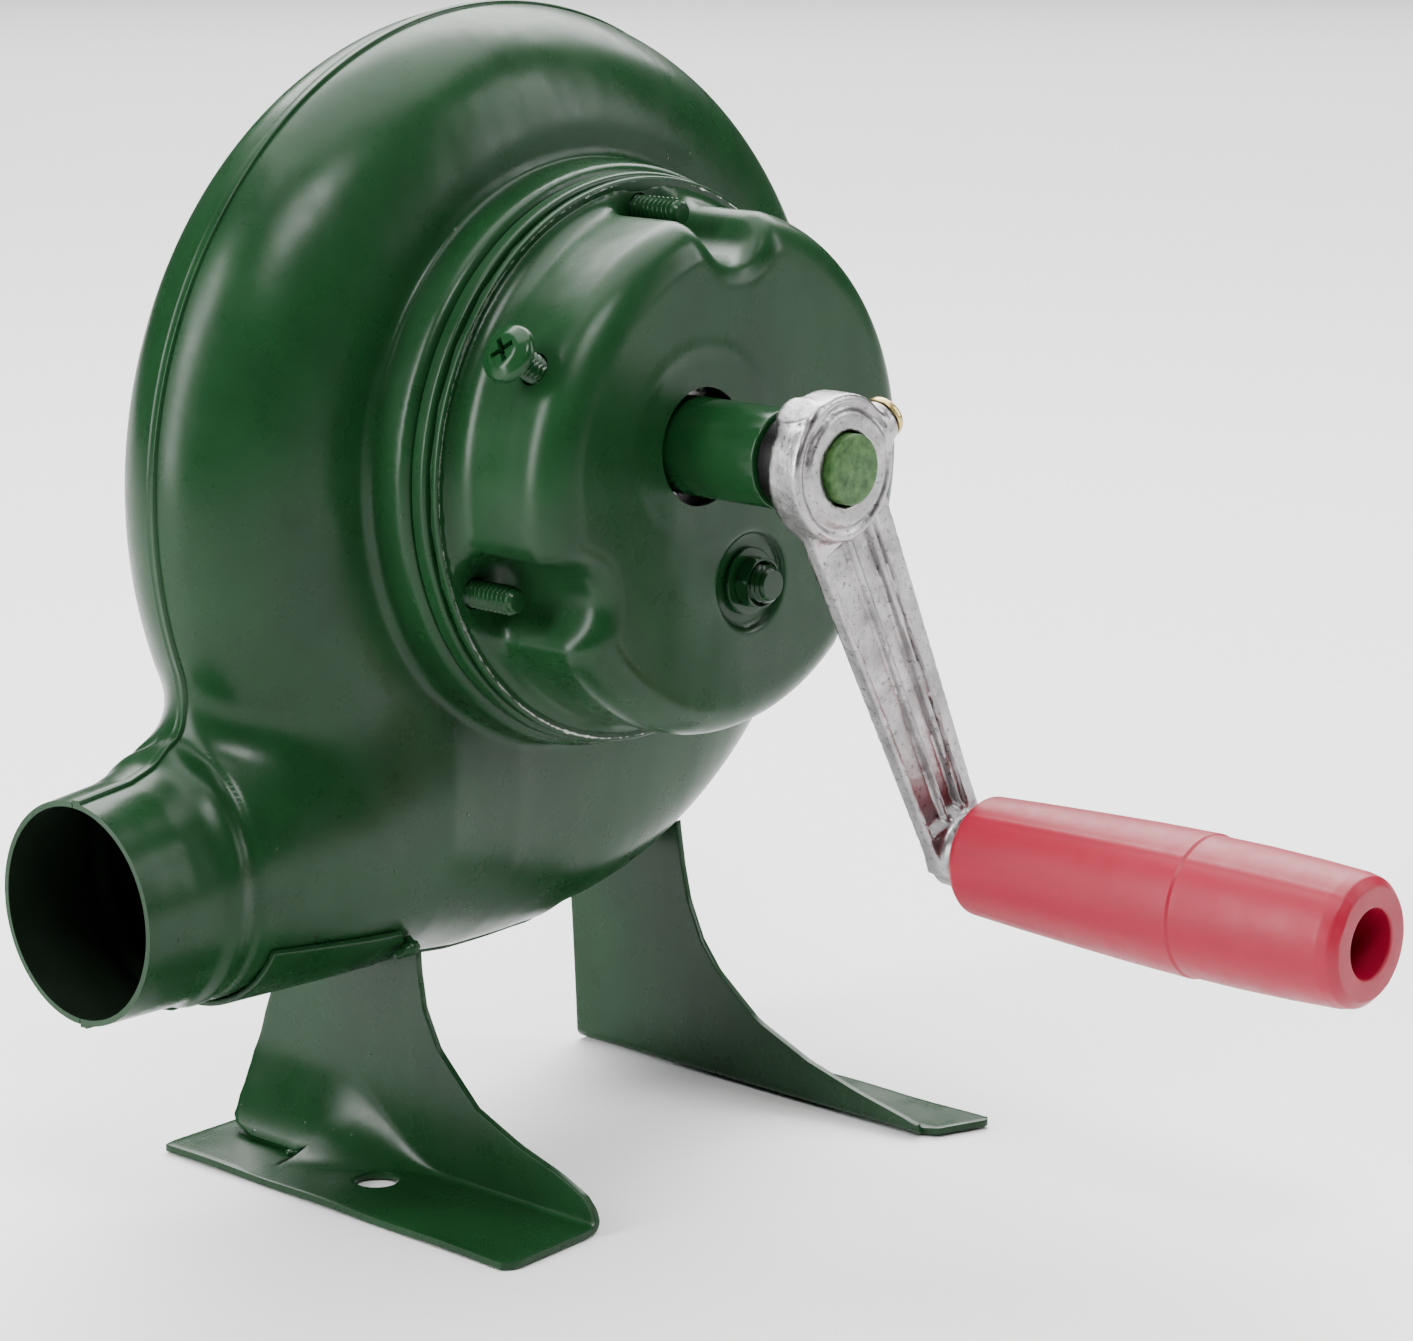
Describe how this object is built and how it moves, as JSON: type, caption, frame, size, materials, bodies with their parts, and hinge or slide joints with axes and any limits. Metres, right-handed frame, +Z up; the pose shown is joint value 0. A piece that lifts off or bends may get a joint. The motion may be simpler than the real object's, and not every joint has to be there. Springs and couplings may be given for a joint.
{
  "type": "hand-cranked forge blower",
  "caption": "Hand-cranked centrifugal forge blower: pressed steel snail casing, geared crank drum, side outlet, air intake grille and bent sheet feet.",
  "frame": {"origin": "centre of the bounding box on the surface that the feet stand on", "axes": "+Z up; the fan, idler and crank shafts lie along Y with the crank on the -Y side and the air intake on the +Y side; the outlet blows towards -X"},
  "size_m": [0.2138, 0.2356, 0.2406],
  "materials": {
    "green_enamel": "thick glossy dark green enamel over pressed steel sheet",
    "green_fastener": "screw or nut painted over with the same green enamel",
    "cast_aluminium": "bare die-cast aluminium, slightly grainy",
    "red_plastic": "moulded satin red plastic",
    "zinc_screw": "yellow zinc plated steel",
    "plain_steel": "oiled machined steel",
    "fan_aluminium": "stamped aluminium sheet",
    "black_spacer": "black oxide steel",
    "bronze_bush": "sintered bronze",
    "paper_gasket": "oil soaked gasket sheet"
  },
  "bodies": {
    "housing": {"crank_side_shell": "green_enamel", "intake_side_shell": "green_enamel", "intake_cover": "green_enamel", "intake_cover_screw_1": "green_fastener", "intake_cover_screw_2": "green_fastener", "intake_cover_screw_3": "green_fastener", "gearbox_back_plate": "plain_steel", "gearbox_base_ring": "green_enamel", "gearbox_gasket": "paper_gasket", "gearbox_cover": "green_enamel", "gearbox_screw_1": "green_fastener", "gearbox_screw_2": "green_fastener", "gearbox_screw_3": "green_fastener", "oil_filler_screw": "green_fastener", "crank_bush": "green_enamel", "crank_rear_bush": "bronze_bush", "impeller_bush": "bronze_bush", "idler_stud": "plain_steel", "idler_stud_washer": "green_fastener", "idler_stud_nut": "green_fastener", "front_foot": "green_enamel", "rear_foot": "green_enamel"},
    "crank": {"crank_shaft": "green_enamel", "drive_gear": "plain_steel", "crank_spacer": "black_spacer", "crank_arm": "cast_aluminium", "crank_set_screw": "zinc_screw", "handle_pin": "plain_steel"},
    "grip": {"handle_grip": "red_plastic"},
    "idler": {"idler_pinion": "plain_steel", "idler_gear": "plain_steel"},
    "impeller": {"impeller_shaft": "plain_steel", "impeller_pinion": "plain_steel", "impeller_thrust_collar": "plain_steel", "impeller_hub": "fan_aluminium", "impeller_disc": "fan_aluminium", "impeller_nut": "plain_steel", "impeller_blade_1": "fan_aluminium", "impeller_blade_2": "fan_aluminium", "impeller_blade_3": "fan_aluminium", "impeller_blade_4": "fan_aluminium", "impeller_blade_5": "fan_aluminium", "impeller_blade_6": "fan_aluminium", "impeller_blade_7": "fan_aluminium", "impeller_blade_8": "fan_aluminium"}
  },
  "joints": [
    {"name": "crank_turn", "type": "hinge", "parent": "housing", "child": "crank", "pos_m": [-0.00033, -0.01465, 0.157], "axis": [0, 1, 0], "continuous": true},
    {"name": "grip_spin", "type": "hinge", "parent": "crank", "child": "grip", "pos_m": [0.04227, -0.06465, 0.071], "axis": [0, 1, 0], "continuous": true},
    {"name": "idler_turn", "type": "hinge", "parent": "housing", "child": "idler", "pos_m": [0.01434, 0.03035, 0.12733], "axis": [0, 1, 0], "continuous": true},
    {"name": "impeller_turn", "type": "hinge", "parent": "housing", "child": "impeller", "pos_m": [0.01117, 0.06535, 0.1492], "axis": [0, 1, 0], "continuous": true}
  ],
  "couplings": [
    {"joint": "idler_turn", "follows": "crank_turn", "ratio": -4.5},
    {"joint": "impeller_turn", "follows": "crank_turn", "ratio": 12}
  ]
}
